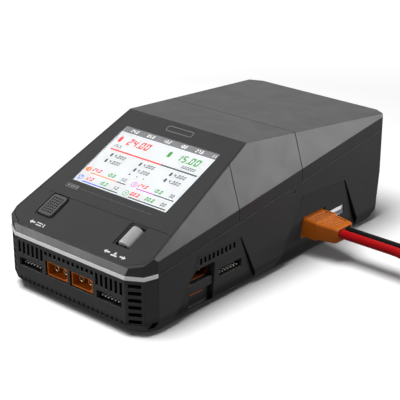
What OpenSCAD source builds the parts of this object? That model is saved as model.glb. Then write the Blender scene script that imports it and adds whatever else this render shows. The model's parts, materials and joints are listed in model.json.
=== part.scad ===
// Multi-channel balance battery charger with a sloping display, a wireless pad on its back
// and a two-wire supply lead in its side. +Z is up, the front faces -Y, the lead leaves at +X,
// and the origin is on the floor under the middle of the case. Lengths are millimetres.

/* [Case] */
// Width across the side walls
body_w = 109.8; // [108:0.2:112]
// Length from the flat front to the upper rear edge
body_l = 226.8; // [224:0.2:230]
// Thickness of the case walls
wall = 2.2; // [1.8:0.1:2.6]
// Height of the feet under the base
foot_h = 1.0; // [0.6:0.1:1.4]
// Height of the ridge between the sloping panel and the rear deck
ridge_z = 84.3; // [83:0.1:86]
// How far the bright trim stands proud of the front
trim_proud = 0.3; // [0.1:0.1:0.5]
// Gap at the seams between covers
seam = 0.3; // [0.2:0.05:0.5]

/* [Display panel] */
// Width of the visible screen
screen_w = 73.6; // [72:0.1:75]
// Height of the visible screen along the slope
screen_h = 50.2; // [49:0.1:51]
// Thickness of the panel plates
plate_t = 2.0; // [1.6:0.1:2.2]

/* [Controls] */
// Width of the channel button
button_w = 11.0; // [10:0.1:11.6]
// Length of the channel button along the slope
button_l = 15.2; // [14:0.1:15.8]
// Diameter of the knurled roller
roller_d = 8.4; // [8:0.1:9]
// Length of the roller along the slope
roller_l = 12.6; // [12:0.1:13]

/* [Fan] */
// Side of the square fan housing
fan_size = 50; // [48:1:50]
// Number of fan blades
fan_blades = 7; // [5:1:9]

/* [Supply lead] */
// Outer diameter of each wire
wire_d = 5.5; // [5:0.1:5.5]
// Radius of the coil at its outermost turn, to the middle of the wire
coil_r = 34.5; // [34:0.5:36]

/* [Hidden] */
$fn = 48;

// Colours
dark = [0.19, 0.19, 0.2];
mid = [0.27, 0.27, 0.28];
light = [0.42, 0.42, 0.43];
orange = [0.85, 0.38, 0.08];
gold = [0.85, 0.65, 0.25];
board_green = [0.05, 0.3, 0.16];
metal = [0.75, 0.76, 0.78];

// Driving lines of the case, with y counted from the flat front
half_w = body_w / 2;
skirt_z = 7.65;
trim_z0 = 34.0;
trim_z1 = 36.3;
lip_y = 1.1;
lip_z = 40.8;
ridge_y = 96.8;
panel_tilt = atan2(ridge_z - lip_z, ridge_y - lip_y);
rear_y = body_l;
rear_z = 71.3;
deck_tilt = atan2(ridge_z - rear_z, rear_y - ridge_y);
corner_y = 13.5;
part_z = 35.3;
part_slope = 26.8 / 211;
wall_top = [224.5, 62.1];
wall_foot = [218.7, 8.0];
rear_tilt = atan2(wall_top[0] - wall_foot[0], wall_top[1] - wall_foot[1]);
kink_z = 43.3;
kink_tilt = atan(part_slope);
wing_lean = 0.3048;
seam_1_y = 79.8;
seam_2_y = 137.7;
split_s = 28.9;
// Longer than the whole case, for cuts that run right through
big = 300;
// Thickness of the sections that a hull joins
thin = 0.01;

// Case outlines
side_points = [[6.2, foot_h], [0, skirt_z], [0, trim_z1], [lip_y, lip_z], [ridge_y, ridge_z],
    [rear_y, rear_z], wall_top, wall_foot, [217.4, foot_h]];
plan_half = [[43.2, 0], [52.3, 5.3], [half_w, corner_y], [half_w, 221.4], [46.4, rear_y]];
base_half = [[40.0, 6.2], [48.8, 10.8], [half_w - 3.5, 17.6], [half_w - 3.5, 217.4]];
panel_half = [[42.15, lip_y], [52.05, 6.1], [54.2, 11.2], [45.7, ridge_y]];

// Adds the mirror image of half an outline to it
function mirrored(points) = concat(points,
    [for (i = [len(points) - 1:-1:0]) [-points[i][0], points[i][1]]]);

// Puts the case, drawn from its front, around the origin
module placed() translate([0, -(body_l - trim_proud) / 2, 0]) children();

// Frame on the sloping panel: x, then up the slope, then out of the surface
module on_panel() translate([0, lip_y, lip_z]) rotate([panel_tilt, 0, 0]) children();

// Frame on the rear deck: x, then towards the rear, then out of the surface
module on_deck() translate([0, ridge_y, ridge_z]) rotate([-deck_tilt, 0, 0]) children();

// Frame on the rear wall: x, then up the wall, then into the case
module on_rear() translate([0, wall_foot[0], wall_foot[1]]) rotate([90 - rear_tilt, 0, 0]) children();

// A solid that runs across the whole case from an outline in y and z
module across() translate([-big / 2, 0, 0]) rotate([90, 0, 90]) linear_extrude(big) children();

// The outside of the case, moved inwards by an inset
module envelope(inset) {
    intersection() {
        across() offset(delta = -inset) polygon(side_points);
        hull() {
            translate([0, 0, skirt_z]) linear_extrude(90)
                offset(delta = -inset) polygon(mirrored(plan_half));
            translate([0, 0, foot_h]) linear_extrude(thin)
                offset(delta = -inset) polygon(mirrored(base_half));
        }
        translate([0, corner_y, kink_z]) rotate([90 + kink_tilt, 0, 0]) translate([0, 0, -260])
            linear_extrude(300) offset(delta = -inset)
            polygon(mirrored([[half_w, -80], [half_w, 0], [half_w - wing_lean * 46, 46]]));
    }
}

module shell() difference() {
    envelope(0);
    envelope(wall);
}

// The panel outline as a prism between two heights of the sloping surface
module panel_prism(inset, low, high) intersection() {
    linear_extrude(120) offset(delta = -inset) polygon(mirrored(panel_half));
    on_panel() translate([-60, -20, low]) cube([120, 140, high - low]);
}

// Everything above the line where the covers meet the lower shell
module above_parting(gap) across() polygon([[-5, trim_z1], [corner_y, trim_z1], [corner_y, part_z + gap],
    [rear_y + 5, part_z + gap + (rear_y + 5 - corner_y) * part_slope], [rear_y + 5, 120], [-5, 120]]);

module below_parting(gap) across() polygon([[corner_y + gap, -5], [rear_y + 5, -5],
    [rear_y + 5, part_z - gap + (rear_y + 5 - corner_y) * part_slope], [corner_y + gap, part_z - gap]]);

module between_y(low, high) translate([-60, low, -5]) cube([120, high - low, 130]);

// A ledge under the panel plates and the hole through it
module panel_ledge() panel_prism(1.4, -plate_t - 2.0, -plate_t);

module panel_hole() {
    panel_prism(0.9, -plate_t, 6);
    panel_prism(4.6, -12, 1);
}

// ---- Case pieces ----

// Slanted outline of a port recess on the side wall, in y and z
recess_1 = [[45.6, 35.1], [82, 34], [97.2, 3.4], [25.8, 3.4]];
recess_2 = [[139.4, 41.4], [182.6, 38.4], [201.2, 1.4], [115.4, 1.4]];
recess_1_depth = 2.0;
recess_2_depth = 2.6;

// A wedge cut that starts flush at its top and gets deeper towards the base
module recess_cut(points, top_z, depth) intersection() {
    translate([half_w - 8, 0, 0]) rotate([90, 0, 90]) linear_extrude(20) polygon(points);
    translate([0, 230, 0]) rotate([90, 0, 0]) linear_extrude(230)
        polygon([[half_w, top_z], [half_w + 20, top_z], [half_w + 20, -5],
            [half_w - depth * (top_z + 5) / (top_z - skirt_z), -5]]);
}

// A narrow groove along one slanted edge of a recess, from point a down to point b
module edge_groove(a, b, width, groove_depth, top_z, depth) intersection() {
    translate([half_w - 8, 0, 0]) rotate([90, 0, 90]) linear_extrude(20)
        polygon([a, [a[0] + width, a[1]], [b[0] + width, b[1]], b]);
    translate([0, 230, 0]) rotate([90, 0, 0]) linear_extrude(230)
        polygon([[half_w - groove_depth, top_z], [half_w + 20, top_z], [half_w + 20, -5],
            [half_w - groove_depth - depth * (top_z + 5) / (top_z - skirt_z), -5]]);
}

// Width and depth of the grooves along the front and the rear edge of a recess
front_groove = [0.7, 0.9];
rear_groove = [0.9, 0.9];

module recess(points, top_z, depth) {
    back = [-rear_groove[0], 0];
    recess_cut(points, top_z, depth);
    edge_groove(points[0], points[3], front_groove[0], front_groove[1], top_z, depth);
    edge_groove(points[1] + back, points[2] + back, rear_groove[0], rear_groove[1], top_z, depth);
}

// Thickening behind a recess, so that the wall keeps its strength
module recess_pad(y0, y1, z1, depth) intersection() {
    translate([half_w - wall - depth, y0, foot_h + 1]) cube([depth + 1, y1 - y0, z1 - foot_h - 1]);
    envelope(0.5);
}

output_y = 51.0;
output_z = 22.3;
side_balance_y = 74.0;
side_balance_z = 17.7;
input_y = 152.6;
input_z = 19.0;
usb_y = 177.6;
usb_z = 18.3;

// Outline of the pocket round a side power socket, in y and z, from its lower edge
function pocket_outline(low) =
    [[38.9, low], [60, low], [60, 25.6], [58.8, 26.8], [44.4, 26.8], [38.9, 21.3]];

// Block behind the pocket of a side power socket
module pocket_block() translate([half_w - 7.0, 37, foot_h + 1]) cube([3.2, 24, 26.5]);

// A cut into the side wall from an outline in y and z
module side_cut(depth) translate([half_w - depth, 0, 0]) rotate([90, 0, 90]) linear_extrude(20) children();

module side_ports() {
    for (i = [0:8]) translate([half_w - 8, 47.9 + 3.53 * i, 30.9]) rotate([6, 0, 0])
        translate([0, -0.85, -2.1]) cube([12, 1.7, 4.2]);
    side_cut(2.4) polygon(pocket_outline(8));
    side_cut(5.3) polygon(pocket_outline(output_z - 4.3));
    translate([half_w - 8, output_y - 8.7, output_z - 4.5]) cube([3.4, 17.4, 9.0]);
    translate([half_w - 4.6, 39.2, 3.3]) cube([10, 20.5, 9.4]);
    translate([half_w - 8, side_balance_y - 9.7, side_balance_z - 2.7]) cube([12, 19.4, 5.4]);
}

// Supply socket, USB port and the small light between them and the front
module right_rear_ports() {
    translate([half_w - 8, 131.2, 46.2]) rotate([0, 90, 0]) cylinder(r = 0.6, h = 12);
    translate([half_w - 8, input_y - 11.6, input_z - 7.1]) cube([12, 23.2, 14.2]);
    translate([half_w - 8, usb_y - 7.2, usb_z - 3.1]) cube([12, 14.4, 6.2]);
}

module left_rear_vents() for (i = [0:11]) translate([half_w - 8, 141 + 4.4 * i, 26]) rotate([-6, 0, 0])
    translate([0, -0.9, -6]) cube([12, 1.8, 12]);

board_posts = [[-44, 22], [44, 22], [-44, 100], [44, 100]];
power_posts = [[-42, 116], [42, 116], [-42, 206], [42, 196]];
main_board_z = 13.6;
power_board_z = 8.0;
screw_spots = [[-46.5, 30], [46.5, 30], [-44, 150], [44, 130], [-44, 196], [44, 208]];
inlet_x = 26;
inlet_v = 27;
fan_x = -20;
fan_v = 28;
feet_spots = [[-38, 24], [38, 24], [-34, 206], [34, 206]];

// A post on the base under a board whose underside is at a given height
module board_post(p, top_z) translate([p[0], p[1], foot_h + 1]) cylinder(d = 7, h = top_z - foot_h - 1);

module lower_shell() color(mid) placed() {
    difference() {
        union() {
            intersection() {
                shell();
                union() {
                    below_parting(seam / 2);
                    translate([-60, 0, 0]) cube([120, corner_y + 1, foot_h + wall]);
                }
            }
            for (side = [0, 1]) mirror([side, 0, 0]) {
                recess_pad(24, 97, 33.5, recess_1_depth);
                recess_pad(113, 203, 38, recess_2_depth);
                pocket_block();
            }
            for (p = board_posts) board_post(p, main_board_z);
            for (p = power_posts) board_post(p, power_board_z);
        }
        intersection() {
            translate([-60, -1, 0]) cube([120, corner_y + 1, 50]);
            fascia_region(0.15);
        }
        for (side = [0, 1]) mirror([side, 0, 0]) {
            recess(recess_1, 35.5, recess_1_depth);
            recess(recess_2, 41.5, recess_2_depth);
            side_ports();
        }
        right_rear_ports();
        mirror([1, 0, 0]) left_rear_vents();
        on_rear() {
            for (i = [-5:5]) intersection() {
                translate([fan_x + i * 4 - 1.2, fan_v - 30, -3]) cube([2.4, 60, 8]);
                translate([fan_x, fan_v, -3]) cylinder(r = 22.5, h = 8);
            }
            for (a = [45:90:315]) translate([fan_x, fan_v, -3]) translate(fan_corner(a))
                cylinder(r = 1.7, h = 8);
            translate([inlet_x - 13.8, inlet_v - 10, -3]) cube([27.6, 20, 8]);
        }
        for (p = screw_spots) translate([p[0], p[1], foot_h - 1]) {
            cylinder(r = 1.7, h = 6);
            cylinder(r = 3.1, h = 1 + 1.2);
        }
        for (p = feet_spots) translate([p[0], p[1], foot_h - 1]) cylinder(r = 5.1, h = 1 + 0.8);
    }
}

// The front wall between the corners, down to the base bevel
module fascia_region(gap) across() polygon([[-5, -1], [corner_y - 4 + gap, -1],
    [corner_y - 4 + gap, skirt_z + 0.4], [corner_y + gap, skirt_z + 0.4], [corner_y + gap, trim_z0],
    [-5, trim_z0]]);

output_x = 9.9;
output_front_z = 21.3;
balance_x = 31.2;
balance_front_z = 18.8;
slot_pitch = 3.665;

module front_fascia() color(mid) placed() difference() {
    intersection() {
        shell();
        fascia_region(0);
        translate([-60, -1, foot_h + 0.3]) cube([120, 30, 60]);
    }
    for (i = [-11:11]) {
        if (abs(i) > 5) translate([i * slot_pitch - 0.95, -2, 24.0]) cube([1.9, 8, 7.4]);
        else translate([i * slot_pitch - 0.95, -2, 28.9]) cube([1.9, 8, 2.4]);
        translate([i * slot_pitch, 8, 0]) rotate([90, 0, 0]) linear_extrude(10)
            polygon([[-0.95, 3.4], [0.95, 3.4], [0.95, 7.7], [0, 9.7], [-0.95, 7.7]]);
    }
    for (side = [-1, 1]) {
        translate([side * output_x - 9.0, -2, output_front_z - 4.6]) cube([17.8, 8, 9.0]);
        translate([side * balance_x - 9.4, -2, balance_front_z - 2.4]) cube([18.8, 8, 4.8]);
        for (k = [0:5]) translate([side * 47.9, 2.65, 9.6 + 4.2 * k]) rotate([0, 0, side * 30.2])
            translate([-3.6, -4, -1.1]) cube([7.2, 8, 2.2]);
    }
}

module silver_trim() color(metal) placed() difference() {
    translate([0, 0, trim_z0]) linear_extrude(trim_z1 - trim_z0) difference() {
        polygon(mirrored([[43.2 + 0.6 * trim_proud, -trim_proud], [52.3 + trim_proud, 5.3 - trim_proud],
            [half_w, corner_y - 1], [half_w, corner_y]]));
        polygon(mirrored([[42.6, wall], [51.0, 6.4], [half_w - wall, corner_y - 1], [half_w - wall, big]]));
    }
}

// A screw post that hangs from a cover down to the base, by its place in screw_spots
module cover_post(i) intersection() {
    translate([screw_spots[i][0], screw_spots[i][1], foot_h + wall]) difference() {
        cylinder(d = 6.4, h = 90);
        translate([0, 0, -1]) cylinder(r = 1.25, h = 13);
    }
    envelope(wall / 2);
}

module front_cover() color(light) placed() difference() {
    union() {
        intersection() {
            union() {
                shell();
                panel_ledge();
            }
            above_parting(seam / 2);
            between_y(-5, seam_1_y - seam / 2);
        }
        cover_post(0);
        cover_post(1);
    }
    panel_hole();
}

module wireless_cover() color(light) placed() difference() {
    union() {
        intersection() {
            union() {
                shell();
                panel_ledge();
            }
            above_parting(seam / 2);
            between_y(seam_1_y + seam / 2, seam_2_y - seam / 2);
        }
        cover_post(3);
    }
    panel_hole();
}

module rear_cover() color(light) placed() {
    intersection() {
        shell();
        above_parting(seam / 2);
        between_y(seam_2_y + seam / 2, big);
    }
    for (i = [2, 4, 5]) cover_post(i);
}

// ---- Panel plates and screen ----

button_x = -31.9;
button_s = 19.8;
roller_x = 29.8;
roller_s = 19.3;
screen_s = 66.8;

module rounded_slab(w, l, r, h) linear_extrude(h)
    offset(r = r) square([w - 2 * r, l - 2 * r], center = true);

module button_panel() color(dark) placed() difference() {
    intersection() {
        panel_prism(0.9 + 0.2, -plate_t, 0);
        on_panel() translate([-60, -5, -5]) cube([120, split_s - seam / 2 + 5, 10]);
    }
    on_panel() {
        translate([button_x, button_s, -5]) rounded_slab(button_w + 1.2, button_l + 1.2, 1.6, 10);
        translate([button_x, button_s, -0.5]) rounded_slab(button_w + 3.4, button_l + 3.4, 2.4, 3);
        translate([roller_x, roller_s, -5]) rounded_slab(roller_d + 2.0, roller_l + 2.8, 0.8, 10);
        translate([roller_x, roller_s, -0.5]) rounded_slab(roller_d + 4.6, roller_l + 5.2, 1.8, 3);
    }
}

module display_panel() color(dark) placed() difference() {
    intersection() {
        panel_prism(0.9 + 0.2, -plate_t, 0);
        on_panel() translate([-60, split_s + seam / 2, -5]) cube([120, 100, 10]);
    }
    on_panel() translate([0, screen_s, 0]) cube([screen_w, screen_h, 12], center = true);
}

module screen_lens() color([0.6, 0.7, 0.75, 0.4]) placed() on_panel() translate([0, screen_s, -0.9])
    translate([-screen_w / 2 + 0.1, -screen_h / 2 + 0.1, 0]) cube([screen_w - 0.2, screen_h - 0.2, 0.7]);

module lcd_module() color("white") placed() on_panel() translate([0, screen_s, 0]) {
    translate([-41, -28, -5.8]) cube([82, 56, 3.6]);
    translate([-screen_w / 2 + 0.2, -screen_h / 2 + 0.2, -2.3]) cube([screen_w - 0.4, screen_h - 0.4, 1.3]);
}

board_n = -11.0;

module display_board() color(board_green) placed() on_panel() difference() {
    union() {
        translate([-40, 9, board_n - 1.6]) cube([80, 84, 1.6]);
        for (x = [-34, 34], y = [42, 90]) translate([x, y, board_n]) cylinder(d = 5, h = -5.8 - board_n);
        translate([-12, 58, board_n - 4.6]) cube([14, 14, 3]);
        translate([10, 52, board_n - 3.6]) cube([9, 12, 2]);
    }
    for (x = [-37, 37]) translate([x, 12, board_n - 3]) cylinder(r = 1.6, h = 6);
}

// ---- Controls ----

// Height of the button's top over the panel, and its grid of dimples
button_proud = 0.8;
dimple_d = 1.2;
dimple_depth = 0.6;
dimple_pitch = [1.75, 1.8];

module channel_button() color(mid) placed() on_panel() translate([button_x, button_s, 0]) {
    difference() {
        translate([0, 0, -3.2]) rounded_slab(button_w, button_l, 1.4, 3.2 + button_proud);
        for (i = [-2:2], j = [-3:3])
            translate([i * dimple_pitch[0], j * dimple_pitch[1], button_proud - dimple_depth])
                cylinder(d = dimple_d, h = 1, $fn = 8);
    }
    translate([0, 0, -3.6]) rounded_slab(button_w + 1.0, button_l + 1.0, 1.8, 1.2);
}

// Gap between the plunger and the floor of its well
switch_gap = 0.05;

module channel_plunger() color("black") placed() on_panel()
    translate([button_x, button_s, -7.3 + switch_gap]) cylinder(d = 3.2, h = 3.7 - switch_gap);

// Push switch on the display board, with a well for its plunger
module push_switch(top, well, well_d) difference() {
    translate([-3, -3, board_n]) cube([6, 6, top - board_n]);
    translate([0, 0, top - well]) cylinder(d = well_d, h = well + 1);
}

module channel_switch() color("gray") placed() on_panel() translate([button_x, button_s, 0])
    push_switch(-5.6, 2.4, 3.6);

// Depth of the roller's axis under the panel surface
axis_n = -roller_d / 2 + 2.0;

// Top of the carriage's base, its thickness, the thickness of its arms and how far out they stand
carriage_n = axis_n - roller_d / 2 - 0.4;
carriage_t = 1.4;
arm_t = 0.7;
arm_y = roller_l / 2 + 0.6;
axle_r = 0.95;

module roller_carriage() color("black") placed() on_panel() translate([roller_x, roller_s, 0])
    difference() {
        translate([0, 0, carriage_n - carriage_t]) union() {
            translate([-3.6, -arm_y - arm_t / 2, 0]) cube([7.2, 2 * arm_y + arm_t, carriage_t]);
            for (e = [-1, 1]) translate([-1.9, e * arm_y - arm_t / 2, 0])
                cube([3.8, arm_t, axis_n + 1.6 - carriage_n + carriage_t]);
        }
        translate([0, -10, axis_n]) rotate([-90, 0, 0]) cylinder(r = axle_r, h = 20);
    }

module roller_axle() color(metal) placed() on_panel()
    translate([roller_x, roller_s - arm_y - arm_t / 2, axis_n])
        rotate([-90, 0, 0]) cylinder(r = axle_r, h = 2 * arm_y + arm_t);

module scroll_roller() color(metal) placed() on_panel()
    translate([roller_x, roller_s - roller_l / 2, axis_n]) rotate([-90, 0, 0]) difference() {
        union() {
            translate([0, 0, 0.4]) cylinder(d = roller_d, h = roller_l - 0.8);
            cylinder(d = roller_d - 1, h = roller_l);
        }
        for (a = [0:15:345]) rotate([0, 0, a]) translate([roller_d / 2 + 0.15, 0, -1])
            rotate([0, 0, 45]) translate([-0.3, -0.3, 0]) cube([0.6, 0.6, roller_l + 2]);
        translate([0, 0, -1]) cylinder(r = 1.0, h = roller_l + 2);
    }

module roller_plunger() color("gray") placed() on_panel() translate([roller_x, roller_s, carriage_n - 3.1])
    cylinder(d = 2.4, h = 1.7);

module roller_switch() color("black") placed() on_panel() translate([roller_x, roller_s, 0])
    push_switch(-9.3, 1.3, 2.8);

// ---- Wireless pad, boards and power parts ----

// Distance of the pad's middle behind the ridge
pad_y = 27;

module wireless_coil() color([0.72, 0.4, 0.18]) placed() on_deck()
    translate([0, pad_y, -wall - 1.4]) difference() {
        cylinder(d = 46, h = 1.2);
        translate([0, 0, -1]) cylinder(d = 20, h = 4);
    }

module coil_shield() color([0.15, 0.15, 0.16]) placed() on_deck()
    translate([0, pad_y, -wall - 2.4]) cylinder(d = 50, h = 1.0);

// Hole in a board for a case screw's post
module post_hole(i, z) translate([screw_spots[i][0], screw_spots[i][1], z - 1]) cylinder(r = 3.9, h = 4);

module main_board() color(board_green) placed() difference() {
    translate([-47.5, 15, main_board_z]) cube([95, 90, 1.6]);
    for (p = board_posts) translate([p[0], p[1], main_board_z - 1]) cylinder(r = 1.6, h = 4);
    for (i = [0, 1]) post_hole(i, main_board_z);
}

module power_board() color(board_green) placed() difference() {
    translate([-48, 110, power_board_z]) cube([96, 101, 1.6]);
    for (p = power_posts) translate([p[0], p[1], power_board_z - 1]) cylinder(r = 1.6, h = 4);
    for (i = [2:5]) post_hole(i, power_board_z);
}

module finned_block(w, l, h, fins) {
    cube([w, l, 2.5]);
    for (i = [0:fins - 1]) translate([i * (w - 1.2) / (fins - 1), 0, 2]) cube([1.2, l, h - 2]);
}

module main_heatsink() color(metal) placed() translate([-27, 48, 15.2]) finned_block(54, 46, 16, 14);

module power_heatsink() color(metal) placed() translate([-38, 120, 9.6]) finned_block(15, 70, 30, 5);

module power_inductors() color([0.25, 0.26, 0.28]) placed()
    for (x = [-18, -6, 6, 18]) translate([x - 5, 30, 15.2]) {
        cube([10, 10, 7]);
        translate([5, 5, 0]) cylinder(d = 8, h = 7.4);
    }

module filter_capacitors() color([0.1, 0.1, 0.12]) placed()
    for (k = [0:2]) translate([-8 + 18 * k, 184, 9.6]) {
        cylinder(d = 16, h = 25);
        translate([0, 0, 25]) cylinder(d = 14.6, h = 0.6);
    }

module transformer() color([0.8, 0.66, 0.15]) placed() translate([-20, 128, 9.6]) {
    translate([0, 5, 0]) cube([34, 26, 4]);
    translate([5, 0, 4]) cube([24, 36, 22]);
    translate([0, 9, 4]) cube([34, 18, 26]);
}

module buzzer() color("black") placed() translate([36, 34, 15.2]) difference() {
    cylinder(d = 12, h = 8.5);
    translate([0, 0, 6]) cylinder(d = 2, h = 4);
}

// ---- Sockets ----

// Two-pole power socket, opening towards -Y, with its mouth at y = 0
module power_socket(w, h, depth, rim, down) difference() {
    union() {
        translate([-w / 2, 0, -h / 2]) cube([w, depth, h]);
        translate([-w / 2, depth * 0.45, -down]) cube([w, depth * 0.55, down]);
    }
    x = w / 2 - rim;
    z = h / 2 - rim;
    translate([0, depth - 3, 0]) rotate([90, 0, 0]) linear_extrude(depth)
        polygon([[-x, -z], [x - 2, -z], [x, 2 - z], [x, z - 2], [x - 2, z], [-x, z]]);
}

module tube_contact(length, r) rotate([-90, 0, 0]) difference() {
    cylinder(r = r, h = length);
    translate([0, 0, -1]) cylinder(r = r * 0.68, h = length - 3);
}

// Top of the main board, where the sockets stand, and the outside of a power socket
board_top = 15.2;
output_w = 16.8;
output_h = 8.4;
output_rim = 0.75;

module front_output_sockets() color(orange) placed() for (side = [-1, 1])
    translate([side * output_x, 0.8, output_front_z])
        power_socket(output_w, output_h, 16.7, output_rim, output_front_z - board_top);

module front_output_contacts() color(gold) placed() for (side = [-1, 1], pole = [-1, 1])
    translate([side * output_x + pole * 3.6, 3.5, output_front_z]) tube_contact(11.0, 1.75);

// Row of square pins in a thin-walled shell, opening towards -Y
module balance_shell(w, h, depth, down) difference() {
    union() {
        translate([-w / 2, 0, -h / 2]) cube([w, depth, h]);
        translate([-w / 2, depth * 0.4, -down]) cube([w, depth * 0.6, down]);
    }
    translate([-w / 2 + 0.6, -1, -h / 2 + 0.3]) cube([w - 1.2, depth - 1, h - 0.6]);
}

module balance_pins(count, length) for (i = [0:count - 1])
    translate([(i - (count - 1) / 2) * 2.5 - 0.32, 0, -0.32]) cube([0.64, length, 0.64]);

module front_balance_sockets() color([0.1, 0.1, 0.11]) placed() for (side = [-1, 1])
    translate([side * balance_x, 0.5, balance_front_z])
        balance_shell(18.4, 4.7, 12, balance_front_z - board_top);

module front_balance_pins() color(gold) placed() for (side = [-1, 1])
    translate([side * balance_x, 2.2, balance_front_z - 0.9]) balance_pins(7, 8.3);

// Turns a socket that opens towards -Y so that it opens out of a side wall
module on_side(side) {
    if (side > 0) rotate([0, 0, 90]) children();
    else rotate([0, 0, -90]) children();
}

side_mouth_x = half_w - 5.4;

module side_output_sockets() color(orange) placed() for (side = [-1, 1]) {
    translate([side * side_mouth_x, output_y, output_z]) on_side(side)
        power_socket(output_w, output_h, 12.2, output_rim, output_z - board_top);
    translate([side * (half_w - 3.3) - 1.3, output_y - 11, 11.9]) cube([2.6, 10.4, 0.8]);
}

module side_output_contacts() color(gold) placed() for (side = [-1, 1], pole = [-1, 1])
    translate([side * (side_mouth_x - 2.6), output_y + pole * 3.6, output_z])
        on_side(side) tube_contact(6.6, 1.75);

module side_balance_sockets() color([0.1, 0.1, 0.11]) placed() for (side = [-1, 1])
    translate([side * (half_w - 1.7), side_balance_y, side_balance_z]) on_side(side)
        balance_shell(19.0, 5.0, 12, side_balance_z - board_top);

module side_balance_pins() color(gold) placed() for (side = [-1, 1])
    translate([side * (half_w - 2.9), side_balance_y, side_balance_z - 1.2])
        on_side(side) balance_pins(7, 8.8);

// Section of the supply plug, where it starts inside its socket, and its two poles
plug_w = 21.2;
plug_h = 12.0;
plug_start = half_w - 9.5;
pole_y = 5.45;
pole_r = 2.25;

module dc_input_socket() color(orange) placed() translate([half_w - 2.2, input_y, input_z]) difference() {
    union() {
        translate([-16, -11.4, -6.9]) cube([16, 22.8, 13.8]);
        translate([-16, -11.4, power_board_z + 1.6 - input_z]) cube([8, 22.8, 8]);
    }
    translate([-7.4, -plug_w / 2 - 0.05, -plug_h / 2 - 0.05]) cube([10, plug_w + 0.1, plug_h + 0.1]);
    for (pole = [-1, 1]) translate([-14, pole * pole_y, 0]) rotate([0, 90, 0]) cylinder(r = pole_r, h = 20);
}

module dc_input_contacts() color(gold) placed() for (pole = [-1, 1])
    translate([half_w - 16.2, input_y + pole * pole_y, input_z])
        rotate([0, 90, 0]) cylinder(r = pole_r, h = 12.6);

module usb_port() color(metal) placed() translate([half_w - 2.0, usb_y, usb_z]) {
    difference() {
        translate([-14, -7.0, -2.9]) cube([14, 14.0, 5.8]);
        translate([-12.5, -6.6, -2.5]) cube([20, 13.2, 5.0]);
    }
    translate([-13, -5, power_board_z + 1.6 - usb_z]) cube([5, 10, usb_z - 2.9 - power_board_z - 1.6]);
}

module usb_tongue() color("white") placed() translate([half_w - 2.0, usb_y, usb_z]) {
    translate([-12.5, -5.6, -0.2]) cube([12.1, 11.2, 2.4]);
    translate([-12.5, -6.6, -2.5]) cube([1.5, 13.2, 5.0]);
}

module ac_inlet() color([0.1, 0.1, 0.1]) placed() on_rear() translate([inlet_x, inlet_v, 0]) difference() {
    union() {
        translate([-13.7, -9.9, -0.2]) cube([27.4, 19.8, 17]);
        translate([-15.4, -12, -1.6]) cube([30.8, 24, 1.6]);
    }
    translate([0, 0, -3]) linear_extrude(16.5) polygon(mirrored([[12, -8], [12, 3.5], [8, 8]]));
}

module ac_inlet_pins() color(metal) placed() on_rear() translate([inlet_x, inlet_v, 3.0]) {
    for (x = [-7, 7]) translate([x - 1, -3.5, 0]) cube([2, 4, 10.5]);
    translate([-1, 1.0, -1]) cube([2, 4, 11.5]);
}

// ---- Fan ----

// Depth of the fan, thickness of its spokes, its place behind the wall and its screws' circle
fan_depth = 15;
spoke_t = 1.6;
fan_z0 = wall + 0.1;
fan_screw_r = 28.28;

function fan_corner(a) = [fan_screw_r * cos(a), fan_screw_r * sin(a)];

module at_fan() placed() on_rear() translate([fan_x, fan_v, fan_z0]) children();

module fan_housing() color([0.12, 0.12, 0.12]) at_fan() difference() {
    translate([-fan_size / 2, -fan_size / 2, 0]) cube([fan_size, fan_size, fan_depth]);
    translate([0, 0, -1]) cylinder(r = 23.4, h = fan_depth - spoke_t + 1);
    difference() {
        translate([0, 0, fan_depth - spoke_t - 0.5]) cylinder(r = 22.6, h = spoke_t + 1.5);
        translate([0, 0, fan_depth - 4]) cylinder(r = 10.5, h = 6);
        for (a = [0:120:240]) rotate([0, 0, a]) translate([0, -1.2, fan_depth - 4]) cube([24, 2.4, 6]);
    }
    translate([0, 0, fan_depth - 4]) cylinder(r = 1.55, h = 6);
    translate([0, 0, -1]) for (a = [45:90:315]) translate(fan_corner(a)) cylinder(r = 1.7, h = fan_depth + 2);
}

module fan_rotor() color([0.08, 0.08, 0.08]) at_fan() {
    translate([0, 0, 1.5]) cylinder(r = 10.5, h = 11.3);
    translate([0, 0, 12]) cylinder(r = 1.5, h = fan_depth - 12);
    for (i = [0:fan_blades - 1]) rotate([0, 0, i * 360 / fan_blades]) translate([9.8, 0, 7])
        rotate([38, 0, 0]) translate([0, -0.6, -5.4]) cube([12.4, 1.2, 10.8]);
}

module fan_screws() color(metal) at_fan() for (a = [45:90:315]) translate(fan_corner(a)) {
    translate([0, 0, -fan_z0 - 0.9]) cylinder(r = 3, h = 0.9);
    translate([0, 0, -fan_z0 - 0.2]) cylinder(r = 1.7, h = fan_depth);
}

module case_screws() color(metal) placed() for (p = screw_spots) translate([p[0], p[1], foot_h + 0.1]) {
    cylinder(r = 2.9, h = 1.1);
    cylinder(r = 1.25, h = 13);
}

module rubber_feet() color([0.08, 0.08, 0.08]) placed() for (p = feet_spots) translate([p[0], p[1], 0]) {
    cylinder(r = 5.0, h = foot_h + 0.8);
}

// ---- Supply lead ----

wire_r = wire_d / 2;
plug_end = 76.6;
coil_x = 162;
wire_y = 149.8;
coil_y = wire_y + coil_r;
turn_pitch = 5.8;

module plug_section(x, w, h) translate([x, 0, 0]) rotate([90, 0, 90]) linear_extrude(thin)
    offset(r = 1.2) square([w - 2.4, h - 2.4], center = true);

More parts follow.
